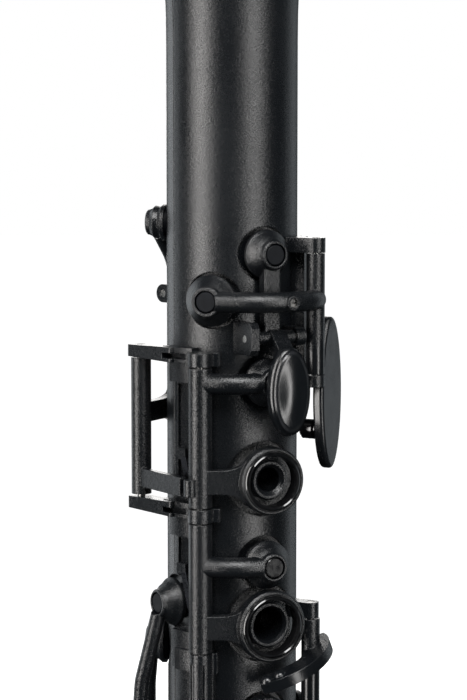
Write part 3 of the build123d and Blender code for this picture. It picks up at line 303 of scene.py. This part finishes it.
def touch_crown():
    """The A touch's bulge: a closed mesh that rises smoothly from the flat face and closes inside the touch."""
    centre = Vector(CROWN_CENTRE)
    points = [centre + Vector((0, -CROWN_RISE, 0)), centre + Vector((0, CROWN_SUNK, 0))]
    for ring in range(1, CROWN_RINGS + 1):
        out = ring / CROWN_RINGS
        for spoke in range(CROWN_SPOKES):
            turn = math.tau * spoke / CROWN_SPOKES
            points.append(centre + Vector((CROWN_HALF_WIDE * out * math.cos(turn),
                                           -CROWN_RISE * (1 - out ** 2) ** 2,
                                           CROWN_HALF_TALL * out * math.sin(turn))))
    faces = []
    last = (CROWN_RINGS - 1) * CROWN_SPOKES
    for spoke in range(CROWN_SPOKES):
        here, after = 2 + spoke, 2 + (spoke + 1) % CROWN_SPOKES
        faces.append((0, here, after))
        for low in range(0, last, CROWN_SPOKES):
            high = low + CROWN_SPOKES
            faces.append((here + low, here + high, after + high, after + low))
        faces.append((1, after + last, here + last))
    mesh = bpy.data.meshes.new("a_touch_crown")
    mesh.from_pydata(points, [], faces)
    mesh.shade_smooth()
    mesh.materials.append(frame["nodes"]["a_key"].data.materials[0])
    crown = bpy.data.objects.new("a_touch_crown", mesh)
    bpy.context.scene.collection.objects.link(crown)
    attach(crown, "a_key")


# ---- studio ---------------------------------------------------------------------------------------

def bearing(degrees):
    """Level direction from the instrument, measured from the camera's side, positive to the camera's right."""
    turn = math.radians(VIEW_AZIMUTH + degrees)
    return Vector((math.sin(turn), -math.cos(turn), 0))


def softbox(name, degrees, distance, height, width, tall, radiance, tint=(1, 1, 1)):
    """A rectangular soft light that looks at the instrument."""
    data = bpy.data.lights.new(name, "AREA")
    data.shape = "RECTANGLE"
    data.size = width
    data.size_y = tall
    data.energy = radiance * math.pi * width * tall
    data.color = tint
    lamp = bpy.data.objects.new(name, data)
    lamp.location = bearing(degrees) * distance + Vector((0, 0, height))
    lamp.rotation_euler = (Vector((0, 0, LIGHT_AIM)) - lamp.location).to_track_quat("-Z", "Y").to_euler()
    bpy.context.scene.collection.objects.link(lamp)


def lights():
    softbox("left_softbox", -57, 1.5, 0.62, 0.50, 1.9, 11.5, (1.0, 0.972, 0.95))
    softbox("right_softbox", 39, 1.5, 0.62, 0.34, 1.9, 10.0, (1.0, 0.985, 0.97))
    softbox("left_rim", -132, 1.6, 0.6, 1.1, 1.8, 1.35, (0.93, 0.97, 1.0))
    softbox("right_rim", 135, 1.6, 0.6, 0.8, 1.8, 0.6, (0.90, 0.96, 1.0))
    softbox("back_softbox", 182, 1.6, 0.6, 0.45, 1.8, 3.2, (1.0, 0.985, 0.97))
    softbox("front_overhead", 0, 1.0, 1.65, 0.9, 0.7, 15.0)


def stage_piece(name, fill, made):
    """A mesh built by fill(bm) that belongs to the studio and not to the instrument."""
    mesh = bpy.data.meshes.new(name)
    bm = bmesh.new()
    fill(bm)
    bm.to_mesh(mesh)
    bm.free()
    mesh.materials.append(made)
    thing = bpy.data.objects.new(name, mesh)
    bpy.context.scene.collection.objects.link(thing)
    return thing


def glowing(name, near_strength, shade):
    """Pale studio surface that gives off light of its own: a little less round the instrument, so that the
    instrument shades it there, and pure white further out."""
    m = Material(name)
    away = m.add("ShaderNodeVectorMath", {"operation": "LENGTH"}, {0: m.place}).outputs["Value"]
    m.put(m.shader.inputs["Emission Strength"], m.scale(away, near_strength, 1.0, 0.25, 1.5))
    m.surface(Base_Color=colour(shade, shade, shade), Roughness=0.9)
    m.shader.inputs["Emission Color"].default_value = colour(1.0, 1.0, 1.0)
    m.shader.inputs["Specular IOR Level"].default_value = 0.0
    return m.data


def studio():
    """Pale floor under the bell and a pale shell all round it, both kept out of the reflections."""
    floor = stage_piece("floor", lambda bm: bmesh.ops.create_circle(
        bm, cap_ends=True, segments=96, radius=STUDIO_REACH), glowing("pale_floor", 0.62, 0.40))
    shell = stage_piece("backdrop", lambda bm: bmesh.ops.create_icosphere(
        bm, subdivisions=5, radius=STUDIO_REACH * 0.98), glowing("pale_backdrop", 1.0, 0.0))
    for thing in (floor, shell):
        thing.visible_glossy = False
        thing.visible_diffuse = False
    shell.visible_shadow = False
    world = bpy.data.worlds.new("studio")
    world.use_nodes = True
    world.node_tree.nodes["Background"].inputs["Color"].default_value = colour(0.78, 0.92, 1.0)
    world.node_tree.nodes["Background"].inputs["Strength"].default_value = 0.060
    bpy.context.scene.world = world
    bpy.context.scene.view_settings.view_transform = "Standard"


def camera():
    low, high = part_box("upper_joint")
    height = low.z + VIEW_HEIGHT_SHARE * (high.z - low.z)
    right = Vector((math.cos(math.radians(VIEW_AZIMUTH)), math.sin(math.radians(VIEW_AZIMUTH)), 0))
    target = Vector((0, 0, height)) + right * VIEW_SIDESTEP
    lift = math.radians(VIEW_ELEVATION)
    back = bearing(0) * math.cos(lift) + Vector((0, 0, math.sin(lift)))
    data = bpy.data.cameras.new("camera")
    data.sensor_width = SENSOR
    data.lens = LENS
    data.clip_start = 0.01
    data.clip_end = 50
    eye = bpy.data.objects.new("camera", data)
    eye.location = target + back * VIEW_DISTANCE
    eye.rotation_mode = "QUATERNION"
    eye.rotation_quaternion = (-back).to_track_quat("-Z", "Y")
    bpy.context.scene.collection.objects.link(eye)
    bpy.context.scene.camera = eye


dress()
touch_crown()
lights()
studio()
camera()
